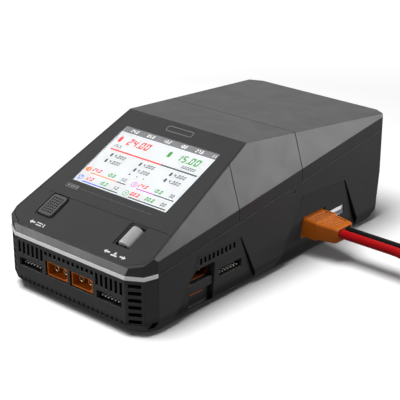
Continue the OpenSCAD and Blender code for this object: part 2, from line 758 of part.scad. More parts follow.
module input_plug() color(orange) placed() translate([0, input_y, input_z]) {
    difference() {
        union() {
            hull() {
                plug_section(plug_start, plug_w, plug_h);
                plug_section(62.8, plug_w - 0.6, plug_h - 0.6);
            }
            hull() {
                plug_section(62.6, plug_w - 1.4, plug_h - 1.6);
                plug_section(74, 16.4, 9.2);
            }
            hull() {
                plug_section(73.9, 15.4, 8.4);
                plug_section(plug_end, 13.4, 7.4);
            }
        }
        for (pole = [-1, 1]) translate([plug_start - 1, pole * pole_y, 0])
            rotate([0, 90, 0]) cylinder(r = pole_r + 0.05, h = 9.5);
    }
}

// Routes, each point in x, y and z
red_route = [
    [76.5, 149.8, 19.5], [84, 149.8, 19.5], [94, 149.8, 19.5], [104, 149.8, 19.5], [112, 149.8, 19.5],
    [118, 149.8, 19.1], [124, 149.8, 17.5], [130, 149.8, 14.4], [135, 149.8, 10.6], [140, 149.8, 6.7],
    [144, 149.8, 4.2], [148, 149.8, 2.95], [153, 149.8, 2.75], [162, 149.8, 2.75]];
black_route = [
    [76.5, 155.4, 19.5], [84, 155.4, 19.5], [94, 155.4, 19.5], [104, 155.4, 19.5], [112, 155.4, 19.5],
    [119, 155.4, 19.4], [126, 155.2, 18.8], [133, 154.6, 16.8], [140, 153.0, 13.5], [147, 151, 10.3],
    [154, 149.9, 8.5], [162, 149.8, 8.25]];
red_tail = [
    [189.3, 184.3, 2.75], [188.6, 189.6, 2.75], [185.5, 194.3, 2.75], [180.6, 197.4, 2.75],
    [175, 198, 2.75], [169.5, 196, 2.75], [165.6, 191.6, 2.75], [164.2, 186, 2.75], [164.2, 182, 2.75]];
black_tail = [
    [189.3, 184.3, 8.25], [189, 190.6, 8.25], [186, 196.8, 8.25], [180.4, 201.2, 8.2], [173.2, 202.4, 7.4],
    [165.8, 200, 5.8], [159.6, 195.4, 4.0], [156.4, 190, 2.9], [156, 186.6, 2.75], [156, 183.6, 2.75]];

function unit(v) = v / norm(v);
function along(p, i) = unit(p[min(i + 1, len(p) - 1)] - p[max(i - 1, 0)]);
function across_of(t) = unit(cross([0, 0, 1], t));
function ring_at(p, i, r, sides) = let (t = along(p, i), u = across_of(t), v = cross(t, u))
    [for (k = [0:sides - 1]) p[i] + r * (cos(360 * k / sides) * u + sin(360 * k / sides) * v)];

// A round tube swept along a route
module swept_tube(p, r, sides = 10) {
    n = len(p);
    points = [for (i = [0:n - 1]) each ring_at(p, i, r, sides)];
    walls = [for (i = [0:n - 2], k = [0:sides - 1])
        let (a = i * sides, b = a + sides, next = (k + 1) % sides) [a + k, b + k, b + next, a + next]];
    start = [[for (k = [0:sides - 1]) k]];
    end = [[for (k = [sides - 1:-1:0]) (n - 1) * sides + k]];
    polyhedron(points, concat(walls, start, end), convexity = 8);
}

module red_wire() color([0.7, 0.06, 0.07]) placed() {
    swept_tube(red_route, wire_r - 0.05);
    swept_tube(red_tail, wire_r - 0.05);
}

module black_wire() color([0.05, 0.05, 0.05]) placed() {
    swept_tube(black_route, wire_r - 0.05);
    swept_tube(black_tail, wire_r - 0.05);
}

module coil_ring(z) translate([coil_x, coil_y, z]) rotate_extrude($fn = 72)
    translate([coil_r - 1.25 * turn_pitch - wire_r, 0]) square([1.25 * turn_pitch + wire_d, wire_d]);

module red_coil() color([0.7, 0.06, 0.07]) placed() coil_ring(0);

module black_coil() color([0.05, 0.05, 0.05]) placed() coil_ring(wire_d);

// Bullet plug on the end of a wire, pointing towards -Y
module bullet() rotate([90, 0, 0]) {
    cylinder(r = 2.7, h = 9);
    translate([0, 0, 9]) cylinder(r = 2.0, h = 12);
    translate([0, 0, 21]) cylinder(r1 = 2.0, r2 = 1.2, h = 1.0, $fn = 24);
}

module red_bullet() color(gold) placed() translate(red_tail[len(red_tail) - 1]) bullet();

module black_bullet() color(gold) placed() translate(black_tail[len(black_tail) - 1]) bullet();

lower_shell();
front_fascia();
silver_trim();
front_cover();
wireless_cover();
rear_cover();
button_panel();
display_panel();
screen_lens();
rubber_feet();
case_screws();
lcd_module();
display_board();
channel_button();
channel_plunger();
channel_switch();
roller_carriage();
roller_axle();
scroll_roller();
roller_plunger();
roller_switch();
wireless_coil();
coil_shield();
main_board();
power_board();
main_heatsink();
power_heatsink();
power_inductors();
filter_capacitors();
transformer();
buzzer();
front_output_sockets();
front_output_contacts();
front_balance_sockets();
front_balance_pins();
side_output_sockets();
side_output_contacts();
side_balance_sockets();
side_balance_pins();
dc_input_socket();
dc_input_contacts();
usb_port();
usb_tongue();
ac_inlet();
ac_inlet_pins();
fan_housing();
fan_rotor();
fan_screws();
input_plug();
red_wire();
black_wire();
red_coil();
black_coil();
red_bullet();
black_bullet();
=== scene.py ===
"""Looks of the balance battery charger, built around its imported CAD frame."""

import json
import math

import bmesh
import bpy
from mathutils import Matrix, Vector

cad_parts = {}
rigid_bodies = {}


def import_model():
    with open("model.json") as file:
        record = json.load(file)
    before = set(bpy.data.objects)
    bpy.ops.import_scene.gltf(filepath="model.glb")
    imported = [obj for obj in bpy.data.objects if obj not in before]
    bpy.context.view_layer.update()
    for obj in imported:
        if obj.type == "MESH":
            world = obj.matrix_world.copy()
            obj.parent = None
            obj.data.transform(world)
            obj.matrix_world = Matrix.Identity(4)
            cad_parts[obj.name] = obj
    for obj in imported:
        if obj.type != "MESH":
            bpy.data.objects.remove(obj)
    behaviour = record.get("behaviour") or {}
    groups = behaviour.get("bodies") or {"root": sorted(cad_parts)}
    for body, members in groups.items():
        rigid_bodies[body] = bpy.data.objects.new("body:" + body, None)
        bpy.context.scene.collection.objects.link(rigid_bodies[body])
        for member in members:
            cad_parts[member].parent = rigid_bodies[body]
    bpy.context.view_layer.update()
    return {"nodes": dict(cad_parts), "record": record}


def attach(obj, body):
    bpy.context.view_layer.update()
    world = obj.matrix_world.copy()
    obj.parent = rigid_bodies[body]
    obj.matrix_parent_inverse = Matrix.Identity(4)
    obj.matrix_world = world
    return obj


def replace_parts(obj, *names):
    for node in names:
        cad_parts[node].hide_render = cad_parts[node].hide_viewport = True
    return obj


for left_over in list(bpy.data.objects):
    bpy.data.objects.remove(left_over, do_unlink=True)

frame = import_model()
NODES = frame["nodes"]
MM = 0.001
FRONT_Y = -0.11325  # the flat front of the case


def at(x, y, z):
    """A point in millimetres, y measured from the flat front of the case, in the row frame."""
    return Vector((x * MM, y * MM + FRONT_Y, z * MM))


# ---- Camera ----

EYE = Vector((0.45115, -0.51656, 0.32118))
SIGHT = Vector((-0.60889, 0.69134, -0.38898))
camera_data = bpy.data.cameras.new("camera")
camera_data.sensor_width = 36
camera_data.lens = 109.9
camera_data.clip_start = 0.02
camera_data.clip_end = 20
camera = bpy.data.objects.new("camera", camera_data)
camera.location = EYE
camera.rotation_mode = "QUATERNION"
camera.rotation_quaternion = SIGHT.to_track_quat("-Z", "Y")
bpy.context.scene.collection.objects.link(camera)
bpy.context.scene.camera = camera

# ---- Node materials ----


class Shader:
    """A Principled material and short ways to add nodes to it."""

    def __init__(self, name, colour, rough=0.5, metallic=0.0, **sockets):
        self.m = bpy.data.materials.new(name)
        self.m.use_nodes = True
        self.tree = self.m.node_tree
        self.bsdf = self.tree.nodes["Principled BSDF"]
        self.bsdf.inputs["Base Color"].default_value = (*colour, 1)
        self.bsdf.inputs["Roughness"].default_value = rough
        self.bsdf.inputs["Metallic"].default_value = metallic
        for key, value in sockets.items():
            self.bsdf.inputs[key.replace("_", " ")].default_value = value
        self.m.diffuse_color = (*colour, 1)
        self.object_place = None

    def node(self, kind, links=(), **values):
        n = self.tree.nodes.new("ShaderNode" + kind)
        for key, value in values.items():
            setattr(n, key, value)
        for socket, value in dict(links).items():
            if hasattr(value, "links"):
                self.tree.links.new(value, n.inputs[socket])
            else:
                n.inputs[socket].default_value = value
        return n

    def link(self, value, socket):
        self.tree.links.new(value, self.bsdf.inputs[socket])

    def place(self):
        if self.object_place is None:
            self.object_place = self.node("TexCoord").outputs["Object"]
        return self.object_place

    def noise(self, size, detail=3.0, rough=0.5):
        """Noise whose features are about size metres across."""
        made = self.node("TexNoise", {"Vector": self.place(), "Scale": 1 / size, "Detail": detail,
                                      "Roughness": rough})
        return made.outputs["Fac"]

    def ramp(self, value, low, high, out_low, out_high):
        """The value stretched from low..high to out_low..out_high, and held at the ends."""
        made = self.node("MapRange", {"Value": value, "From Min": low, "From Max": high,
                                      "To Min": out_low, "To Max": out_high})
        return made.outputs["Result"]

    def mix(self, factor, a, b):
        """The colour a where the factor is 0 and b where it is 1."""
        made = self.node("Mix", data_type="RGBA")
        for socket, value in ((0, factor), (6, a), (7, b)):
            if hasattr(value, "links"):
                self.tree.links.new(value, made.inputs[socket])
            else:
                made.inputs[socket].default_value = (*value, 1) if hasattr(value, "__len__") else value
        return made.outputs[2]

    def maths(self, operation, a, b):
        return self.node("Math", {0: a, 1: b}, operation=operation).outputs[0]


def shade(colour, factor):
    """The colour made lighter or darker by a factor."""
    return tuple(min(1.0, c * factor) for c in colour)


FLAT, SHARP = 0.995, 0.8  # agreement of the rounded and the true normal away from an edge and on it
# how dark the painted shade at the base and the painted shade in narrow gaps make a colour
PAINTED_BASE_SHADE, PAINTED_GAP_SHADE = 0.12, 0.08
# how much lighter the edges are made: partly wear, partly a painted highlight
EDGE_WEAR_AND_HIGHLIGHT_PLASTIC, EDGE_WEAR_AND_HIGHLIGHT_METAL = 1.9, 1.15
BLOTCH_SIZE, SMUDGE_SIZE, EDGE_BREAKUP_SIZE = 0.02, 0.014, 0.004
ROUGH_SPAN = 0.035


def edges_of(s, radius):
    """A rounded normal for sharp edges, and a mask that is bright on them."""
    rounded = s.node("Bevel", {"Radius": radius}, samples=6).outputs[0]
    true = s.node("NewGeometry").outputs["Normal"]
    dot = s.node("VectorMath", {0: rounded, 1: true}, operation="DOT_PRODUCT").outputs["Value"]
    return rounded, s.ramp(dot, FLAT, SHARP, 0.0, 1.0)


def surface(name, colour, rough=0.5, metallic=0.0, grain=0.0004, depth=0.00001, mottle=0.05,
            edge_wear_and_highlight=0.25, edge=0.0003, painted_shade_heights=None, painted_gap_shade_reach=0.0, **sockets):
    """A finished material: grain, mottled colour, uneven gloss, edges made lighter for wear and as a painted
    highlight, painted shade towards the base and painted shade in narrow gaps.

    Lengths are in metres. The heights given for the base are where the painted shade at the base fades out, and
    the reach given for narrow gaps is how far the painted shade in them spreads.
    """
    s = Shader(name, colour, rough, metallic, **sockets)
    rounded, edge_mask = edges_of(s, edge)
    patches = s.noise(BLOTCH_SIZE, 4.0, 0.6)
    tone = s.mix(patches, shade(colour, 1 - mottle), shade(colour, 1 + mottle))
    # painted shade: the colour darkens towards the base, between the given heights, where the case gets no
    # light from below
    if painted_shade_heights:
        height = s.node("SeparateXYZ", {0: s.place()}).outputs[2]
        tone = s.mix(s.ramp(height, *painted_shade_heights, 0.0, 1.0), shade(colour, PAINTED_BASE_SHADE), tone)
    # painted shade in narrow gaps, slots, dimples and sockets, from an ambient occlusion node
    if painted_gap_shade_reach:
        closed = s.node("AmbientOcclusion", {"Distance": painted_gap_shade_reach}, samples=8).outputs["AO"]
        tone = s.mix(s.ramp(closed, 0.35, 0.9, 0.0, 1.0), shade(colour, PAINTED_GAP_SHADE), tone)
    # edges made lighter in broken patches: partly wear, partly a painted highlight
    edge_breakup = s.ramp(s.noise(EDGE_BREAKUP_SIZE, 5.0, 0.7), 0.42, 0.62, 0.0, edge_wear_and_highlight)
    worn_and_lit_edges = s.maths("MULTIPLY", edge_mask, edge_breakup)
    s.link(s.mix(worn_and_lit_edges, tone, shade(colour, EDGE_WEAR_AND_HIGHLIGHT_PLASTIC if metallic < 0.5 else EDGE_WEAR_AND_HIGHLIGHT_METAL)), "Base Color")
    smudges = s.ramp(s.noise(SMUDGE_SIZE, 5.0, 0.65), 0.3, 0.7, rough - ROUGH_SPAN, rough + ROUGH_SPAN)
    s.link(smudges, "Roughness")
    bump = s.node("Bump", {"Height": s.noise(grain, 2.0, 0.6), "Distance": depth, "Normal": rounded})
    bump.inputs["Strength"].default_value = 1.0
    s.link(bump.outputs[0], "Normal")
    return s.m


CASE_GRAIN = {"grain": 0.0005, "depth": 0.000010}
WIRE_GRAIN = {"grain": 0.0003, "depth": 0.000006}
SMOOTH = 0.000001  # grain depth of a printed or moulded gloss face

MATERIALS = {
    # painted shade: case_dark darkens towards its base; it, button_grey, black_plastic and the pocket's orange
    # darken in narrow gaps
    "case_dark": surface("case_dark", (0.037, 0.037, 0.038), 0.36, edge=0.0004, edge_wear_and_highlight=0.4,
                         painted_shade_heights=(0.0065, 0.0105), painted_gap_shade_reach=0.0035, **CASE_GRAIN),
    "cover_grey": surface("cover_grey", (0.036, 0.036, 0.037), 0.36, edge=0.0005, edge_wear_and_highlight=0.5, **CASE_GRAIN),
    "panel_dark": surface("panel_dark", (0.026, 0.026, 0.027), 0.34, depth=0.000006, edge=0.0004, edge_wear_and_highlight=0.6),
    "trim_silver": surface("trim_silver", (0.90, 0.90, 0.89), 0.4, 0.1, grain=0.0003, depth=0.000004,
                           mottle=0.02),
    "screen_white": surface("screen_white", (0.85, 0.87, 0.87), 0.4, mottle=0.02, depth=SMOOTH, edge_wear_and_highlight=0.0,
                            Emission_Color=(0.93, 0.96, 1.0, 1), Emission_Strength=0.36),
    "button_grey": surface("button_grey", (0.085, 0.085, 0.087), 0.42, edge_wear_and_highlight=0.5, painted_gap_shade_reach=0.0008),
    "roller_aluminium": surface("roller_aluminium", (0.62, 0.62, 0.63), 0.5, 0.5, edge_wear_and_highlight=0.1),
    "board_green": surface("board_green", (0.01, 0.12, 0.05), 0.35),
    "heatsink_aluminium": surface("heatsink_aluminium", (0.6, 0.6, 0.62), 0.4, 0.95),
    "coil_copper": surface("coil_copper", (0.6, 0.28, 0.12), 0.35, 0.9),
    "ferrite_grey": surface("ferrite_grey", (0.08, 0.08, 0.085), 0.7),
    "capacitor_sleeve": surface("capacitor_sleeve", (0.02, 0.02, 0.03), 0.3),
    "winding_tape": surface("winding_tape", (0.6, 0.4, 0.05), 0.4),
    "black_plastic": surface("black_plastic", (0.009, 0.009, 0.010), 0.48, mottle=0.1, painted_gap_shade_reach=0.004,
                             Specular_IOR_Level=0.35),
    "fan_black": surface("fan_black", (0.014, 0.014, 0.015), 0.42),
    "switch_metal": surface("switch_metal", (0.6, 0.6, 0.62), 0.3, 0.95),
    # the white plastic glows a little, though it is no lamp: painted light, so the white tongue reads bright in
    # its shaded port
    "white_plastic": surface("white_plastic", (0.86, 0.87, 0.86), 0.4, mottle=0.02,
                             Emission_Color=(0.9, 0.92, 0.92, 1), Emission_Strength=0.25),
    "screw_steel": surface("screw_steel", (0.25, 0.25, 0.26), 0.35, 0.9),
    "foot_rubber": surface("foot_rubber", (0.015, 0.015, 0.015), 0.8, depth=0.00003),
    "connector_orange": surface("connector_orange", (0.50, 0.118, 0.007), 0.42, mottle=0.06, edge_wear_and_highlight=0.4,
                                Specular_IOR_Level=0.3),
    # a darker copy of connector_orange: painted shade for the sockets deep in the side pocket
    "orange_in_painted_shade": surface("orange_in_painted_shade", (0.24, 0.055, 0.005), 0.45, mottle=0.1, edge_wear_and_highlight=0.5, painted_gap_shade_reach=0.006,
                             Specular_IOR_Level=0.3),
    "contact_gold": surface("contact_gold", (0.95, 0.78, 0.48), 0.25, 1.0),
    "pin_metal": surface("pin_metal", (0.92, 0.88, 0.80), 0.35, 0.3),
    "wire_red": surface("wire_red", (0.50, 0.004, 0.007), 0.42, mottle=0.04, Specular_IOR_Level=0.3,
                        **WIRE_GRAIN),
    "wire_black": surface("wire_black", (0.008, 0.008, 0.008), 0.42, Specular_IOR_Level=0.35, **WIRE_GRAIN),
    "mark_white": surface("mark_white", (0.75, 0.75, 0.75), 0.5, mottle=0.04, edge_wear_and_highlight=0.0),
    "mark_grey": surface("mark_grey", (0.28, 0.28, 0.29), 0.5, mottle=0.06, edge_wear_and_highlight=0.0),
    "mark_faint": surface("mark_faint", (0.085, 0.085, 0.088), 0.5, mottle=0.06, edge_wear_and_highlight=0.0),
}


def glass_material():
    """Clear glass with a faint tint, uneven gloss and a coating that cuts reflections."""
    s = Shader("screen_glass", (1, 1, 1), 0.04, Transmission_Weight=1.0, IOR=1.45, Specular_IOR_Level=0.06)
    s.link(s.mix(s.noise(0.03, 3.0), (0.97, 0.98, 0.98), (1, 1, 1)), "Base Color")
    s.link(s.ramp(s.noise(0.02, 4.0), 0.35, 0.7, 0.02, 0.06), "Roughness")
    return s.m


MATERIALS["screen_glass"] = glass_material()


# CAD nodes that don't take the material named after their slot; the side output sockets take a darker copy of
# the orange, which paints the shade inside their pocket
LOOKS = {
    "side_output_sockets": "orange_in_painted_shade",
    "front_balance_pins": "pin_metal",
    "side_balance_pins": "pin_metal",
}
for part in frame["record"]["subparts"]:
    node_object = NODES[part["node"]]
    node_object.data.materials.clear()
    node_object.data.materials.append(MATERIALS[LOOKS.get(part["node"], part["material_slot"])])

# ---- Supply lead ----

WIRE_D = 5.5
COIL_X, COIL_Y, COIL_R, COIL_TURNS, COIL_PITCH = 162, 184.3, 34.5, 1.25, 5.8
COIL_STEP = 20
RED_Z, BLACK_Z = 2.75, 8.25
RED_ROUTE = [
    (76.5, 149.8, 19.5), (84, 149.8, 19.5), (94, 149.8, 19.5), (104, 149.8, 19.5), (112, 149.8, 19.5),
    (118, 149.8, 19.1), (124, 149.8, 17.5), (130, 149.8, 14.4), (135, 149.8, 10.6), (140, 149.8, 6.7),
    (144, 149.8, 4.2), (148, 149.8, 2.95), (153, 149.8, 2.75)]
BLACK_ROUTE = [
    (76.5, 155.4, 19.5), (84, 155.4, 19.5), (94, 155.4, 19.5), (104, 155.4, 19.5), (112, 155.4, 19.5),
    (119, 155.4, 19.4), (126, 155.2, 18.8), (133, 154.6, 16.8), (140, 153.0, 13.5), (147, 151, 10.3),
    (154, 149.9, 8.5)]
RED_TAIL = [
    (188.6, 189.6, 2.75), (185.5, 194.3, 2.75), (180.6, 197.4, 2.75), (175, 198, 2.75), (169.5, 196, 2.75),
    (165.6, 191.6, 2.75), (164.2, 186, 2.75), (164.2, 182, 2.75)]
BLACK_TAIL = [
    (189, 190.6, 8.25), (186, 196.8, 8.25), (180.4, 201.2, 8.2), (173.2, 202.4, 7.4), (165.8, 200, 5.8),
    (159.6, 195.4, 4.0), (156.4, 190, 2.9), (156, 186.6, 2.75), (156, 183.6, 2.75)]


def coil_points(z):
    """The stored turns, wound inwards and level, starting at the side nearest the front."""
    points = []
    for angle in range(-90, round(360 * COIL_TURNS) - 90 + 1, COIL_STEP):
        r = COIL_R - COIL_PITCH * (angle + 90) / 360
        a = math.radians(angle)
        points.append((COIL_X + r * math.cos(a), COIL_Y + r * math.sin(a), z))
    return points


def wire(name, points, slot):
    """A round lead through the points, in millimetres."""
    curve = bpy.data.curves.new(name, "CURVE")
    curve.dimensions = "3D"
    spline = curve.splines.new("BEZIER")
    spline.bezier_points.add(len(points) - 1)
    for knot, p in zip(spline.bezier_points, points):
        knot.co = at(*p)
        knot.handle_left_type = knot.handle_right_type = "AUTO"
    curve.resolution_u = 8
    curve.bevel_depth = WIRE_D * MM / 2
    curve.bevel_resolution = 6
    curve.use_fill_caps = True
    piece = bpy.data.objects.new(name, curve)
    bpy.context.scene.collection.objects.link(piece)
    curve.materials.append(MATERIALS[slot])
    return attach(piece, "case")


red_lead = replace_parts(wire("red_lead", RED_ROUTE + coil_points(RED_Z) + RED_TAIL, "wire_red"),
                       "red_wire", "red_coil")
black_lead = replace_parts(wire("black_lead", BLACK_ROUTE + coil_points(BLACK_Z) + BLACK_TAIL, "wire_black"),
                         "black_wire", "black_coil")

# ---- Pieces made in mesh code ----


def build(name, shape, slot, body, smooth=0, look=None):
    """A closed mesh piece from a function that fills a bmesh, with its material, riding on a body."""
    bm = bmesh.new()
    shape(bm)
    bmesh.ops.recalc_face_normals(bm, faces=bm.faces)
    mesh = bpy.data.meshes.new(name)
    bm.to_mesh(mesh)
    bm.free()
    piece = bpy.data.objects.new(name, mesh)
    bpy.context.scene.collection.objects.link(piece)
    if smooth:
        for polygon in mesh.polygons:
            polygon.use_smooth = True
        mesh.set_sharp_from_angle(angle=math.radians(smooth))
    mesh.materials.append(MATERIALS[look or slot])
    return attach(piece, body)


def skin(bm, made):
    """Joins each ring of vertices to the next with quads."""
    for a, b in zip(made, made[1:]):
        for k in range(len(a)):
            j = (k + 1) % len(a)
            bm.faces.new((a[k], a[j], b[j], b[k]))


def loft(bm, rings):
    """A closed solid through rings of points of equal length."""
    made = [[bm.verts.new(p) for p in ring] for ring in rings]
    skin(bm, made)
    bm.faces.new(made[0])
    bm.faces.new(made[-1])


def closed_loft(bm, rings):
    """A closed tube through rings of points of equal length: the last ring joins the first."""
    made = [[bm.verts.new(p) for p in ring] for ring in rings]
    skin(bm, made + made[:1])


def circle(r, sides):
    """Points round a circle about the origin."""
    turns = [2 * math.pi * k / sides for k in range(sides)]
    return [(r * math.cos(a), r * math.sin(a)) for a in turns]


PANEL_FOOT, PANEL_TOP = (1.1, 40.8), (96.8, 84.3)  # y and z of the sloping panel's ends
TILT = math.atan2(PANEL_TOP[1] - PANEL_FOOT[1], PANEL_TOP[0] - PANEL_FOOT[0])


def on_panel(x, s, n):
    """A point on the sloping panel: across, up the slope and out of the surface."""
    return at(x, PANEL_FOOT[0] + s * math.cos(TILT) - n * math.sin(TILT),
              PANEL_FOOT[1] + s * math.sin(TILT) + n * math.cos(TILT))


def plate(bm, outline, low, high):
    """A thin closed plate with a given outline, between two heights over the panel."""
    loft(bm, [[on_panel(u, v, n) for u, v in outline] for n in (low, high)])


def box(x0, x1, s0, s1):
    """The outline of an upright rectangle."""
    return [(x0, s0), (x1, s0), (x1, s1), (x0, s1)]


def disc(x, s, r, sides=20):
    """The outline of a disc about x, s."""
    return [(x + u, s + v) for u, v in circle(r, sides)]


def rounded(x0, x1, s0, s1, r, steps=4):
    """The outline of a rectangle with round corners."""
    points = []
    corners = ((x1 - r, s1 - r, 0), (x0 + r, s1 - r, 90), (x0 + r, s0 + r, 180), (x1 - r, s0 + r, 270))
    for cx, cy, start in corners:
        for k in range(steps + 1):
            a = math.radians(start + 90 * k / steps)
            points.append((cx + r * math.cos(a), cy + r * math.sin(a)))
    return points


def hoop(bm, outer, inner, low, high):
    """A flat closed ring on the panel between two outlines of equal length."""
    closed_loft(bm, [[on_panel(u, v, n) for u, v in outline] for outline, n in
                     ((outer, low), (outer, high), (inner, high), (inner, low))])


# ---- Screen picture ----

INK_LOW, INK_MID, INK_HIGH = -0.99, -0.96, -0.93  # heights of the picture's layers from the panel's surface
BAR_LINES = {
    "0": "abcdef", "1": "bc", "2": "abged", "3": "abgcd", "4": "fgbc",
    "5": "afgcd", "6": "afgecd", "7": "abc", "8": "abcdefg", "9": "abcdfg"}
DIGIT_WIDTH, DIGIT_STEP, POINT_STEP, BAR_GAP = 0.56, 0.74, 0.26, 0.015  # shares of the height
SLANT = 0.12


def bars(digit, thick):
    """Outlines of the strokes of one digit of height 1."""
    w, t, g = DIGIT_WIDTH, thick, BAR_GAP
    top = [(g, 1), (w - g, 1), (w - t - g, 1 - t), (t + g, 1 - t)]
    side = [(0, 1 - g), (t, 1 - t - g), (t, 0.5 + t / 2 + g), (t / 2, 0.5 + g), (0, 0.5 + g)]
    middle = [(g + t / 2, 0.5), (t + g, 0.5 + t / 2), (w - t - g, 0.5 + t / 2), (w - g - t / 2, 0.5),
              (w - t - g, 0.5 - t / 2), (t + g, 0.5 - t / 2)]
    across = {"a": top, "d": [(u, 1 - v) for u, v in top], "f": side, "b": [(w - u, v) for u, v in side],
              "e": [(u, 1 - v) for u, v in side], "c": [(w - u, 1 - v) for u, v in side], "g": middle}
    return [across[line] for line in BAR_LINES[digit]]


def number(bm, digits, x, s, height, thick, low=INK_LOW, high=INK_MID):
    """A slanted number with its lower left corner at x, s."""
    for digit in digits:
        if digit == ".":
            dot = box(2 * BAR_GAP, 2 * BAR_GAP + thick, 0, thick)
            plate(bm, [(x + u * height, s + v * height) for u, v in dot], low, high)
            x += POINT_STEP * height
            continue
        for outline in bars(digit, thick):
            plate(bm, [(x + (u + SLANT * v) * height, s + v * height) for u, v in outline], low, high)
        x += DIGIT_STEP * height


INKS = {
    "red": (0.75, 0.01, 0.01), "green": (0.01, 0.32, 0.03), "grey": (0.16, 0.16, 0.17),
    "dark": (0.02, 0.02, 0.025), "orange": (0.85, 0.22, 0.02), "blue": (0.03, 0.10, 0.75),
    "magenta": (0.62, 0.02, 0.55), "white": (0.9, 0.9, 0.9)}
for ink, colour in INKS.items():
    MATERIALS["ink_" + ink] = surface("ink_" + ink, colour, 0.4, mottle=0.03, depth=SMOOTH, edge_wear_and_highlight=0.0,
                                      Emission_Color=(*colour, 1), Emission_Strength=0.55)

BAR_BREAK = 0.1  # gap between the filled and the empty part of a channel's bar

# Each channel: place of its disc, ink, volts, amps, share of charge, and the filled part of its bar
CHANNELS = (
    (-33.6, 52.8, "orange", "24.0", "10.0", "50", 0.75), (-33.5, 45.5, "blue", "12.0", "10.0", "50", 0.52),
    (3.1, 52.8, "magenta", "24.0", "10.0", "30", 0.47), (2.9, 45.5, "green", "00.0", "00.0", "00", 0.0))
CELL_COLUMNS, CELL_ROWS = (-28.2, -5.1, 18.6), (67.8, 62.7)
LINE_LOW, LINE_HIGH, LINE_CHANGE = 71.5, 72.6, 7.4  # the line under the big figures, red then dark
BIG, ROW, SMALL = 5.6, 2.8, 2.4  # heights of figures
THICK, THIN = 0.24, 0.18  # widths of their strokes, as shares of the height


def channel_bar(x, s, start, end, gap=0.0):
    """The part of a channel's bar between two shares of its length, with a gap before it."""
    low = x + 3.4
    high = 34.8 if x > 0 else -2.1
    return box(low + (high - low) * start + gap, low + (high - low) * end, s - 2.5, s - 1.7)


def battery(bm, x, s, w, h):
    """A small battery sign about x, s."""
    plate(bm, box(x - w / 2, x + w / 2, s - h / 2, s + h / 2), INK_LOW, INK_MID)
    plate(bm, box(x - w / 5, x + w / 5, s + h / 2, s + h / 2 + h * 0.14), INK_LOW, INK_MID)


def draw_red(bm):
    battery(bm, -32.4, 80.7, 2.4, 4.2)
    number(bm, "24.00", -26.4, 78.1, BIG, THIN)
    plate(bm, box(-33.3, LINE_CHANGE - 0.1, LINE_LOW, LINE_HIGH), INK_LOW, INK_MID)
    for x, s, _, volts, _, _, _ in CHANNELS:
        number(bm, volts, x + 2.9, s - 0.5, ROW, THICK)


def draw_green(bm):
    battery(bm, 6.7, 80.9, 2.4, 4.2)
    number(bm, "15.00", 12.6, 78.2, BIG - 0.1, THIN)
    for x, s, _, _, amps, _, _ in CHANNELS:
        number(bm, amps, x + 14.2, s - 0.5, ROW, THICK)


def draw_grey(bm):
    plate(bm, box(-36.5, 36.5, 87.1, 91.8), INK_LOW, INK_MID)
    number(bm, "25.5", -32.8, 74.1, SMALL, THICK)
    number(bm, "000000", 20.4, 74.1, SMALL, THICK)
    for x in CELL_COLUMNS:
        for s in CELL_ROWS:
            number(bm, "4.000", x + 2.2, s - 1.3, ROW, THICK)
    for x, s, _, _, _, share, _ in CHANNELS:
        number(bm, share, x + 26.0, s - 0.5, ROW - 0.1, THICK)
    for x in (0.2, 5.4):
        plate(bm, disc(x, 58.5, 0.55), INK_LOW, INK_MID)


def draw_dark(bm):
    plate(bm, box(LINE_CHANGE + 0.1, 34.7, LINE_LOW, LINE_HIGH), INK_LOW, INK_MID)
    plate(bm, disc(-5.6, 58.5, 0.7), INK_LOW, INK_MID)
    for x in CELL_COLUMNS:
        for s in CELL_ROWS:
            battery(bm, x, s - 0.1, 1.6, 2.6)
    for x, s, _, _, _, _, share in CHANNELS:
        plate(bm, channel_bar(x, s, share, 1, BAR_BREAK), INK_LOW, INK_MID)


def draw_white(bm):
    for x, digits in ((-31, "24.0"), (-18, "05.0"), (-5, "13.2"), (8, "100"), (20, "27.6"), (32, "11")):
        number(bm, digits, x, 88.3, SMALL, THICK, INK_MID, INK_HIGH)
    number(bm, "1", -34.3, 51.7, 2.2, 0.22, INK_MID, INK_HIGH)


def draw_channel(index):
    """The shape of one channel's numbered disc and the filled part of its bar."""
    x, s, _, _, _, _, share = CHANNELS[index]

    def shape(bm):
        if index == 0:
            plate(bm, disc(x, s, 2.0), INK_LOW, INK_MID)
        else:
            hoop(bm, disc(x, s, 2.1), disc(x, s, 1.65), INK_LOW, INK_MID)
            number(bm, str(index + 1), x - 0.75, s - 1.1, 2.2, 0.2)
        if share > 0:
            plate(bm, channel_bar(x, s, 0, share), INK_LOW, INK_MID)
    return shape


for ink, shape in (("red", draw_red), ("green", draw_green), ("grey", draw_grey), ("dark", draw_dark),
                   ("white", draw_white)):
    build("screen_" + ink, shape, "screen_white", "case", look="ink_" + ink)
for i, (_, _, ink, _, _, _, _) in enumerate(CHANNELS):
    build("screen_channel_%d" % (i + 1), draw_channel(i), "screen_white", "case", look="ink_" + ink)

# ---- Marks printed on the panel ----

MARK = 0.03  # thickness of the print


def arrow(x, s, way):
    """A block arrow 4.4 long that points left or right."""
    shape = [(-2.2, 0), (-0.2, 1.35), (-0.2, 0.5), (2.2, 0.5), (2.2, -0.5), (-0.2, -0.5), (-0.2, -1.35)]
    return [(x - way * u, s + v) for u, v in shape]


def roller_marks(bm):
    for outline in (arrow(24.7, 5.2, -1), arrow(36.6, 5.0, 1)):
        plate(bm, outline, 0, MARK)
    plate(bm, box(28.4, 32.9, 3.7, 4.7), 0, MARK)
    press = [(29.2, 5.3), (30.65, 4.9), (32.1, 5.3), (31.2, 5.6), (31.2, 6.6), (30.1, 6.6), (30.1, 5.6)]
    plate(bm, press, 0, MARK)


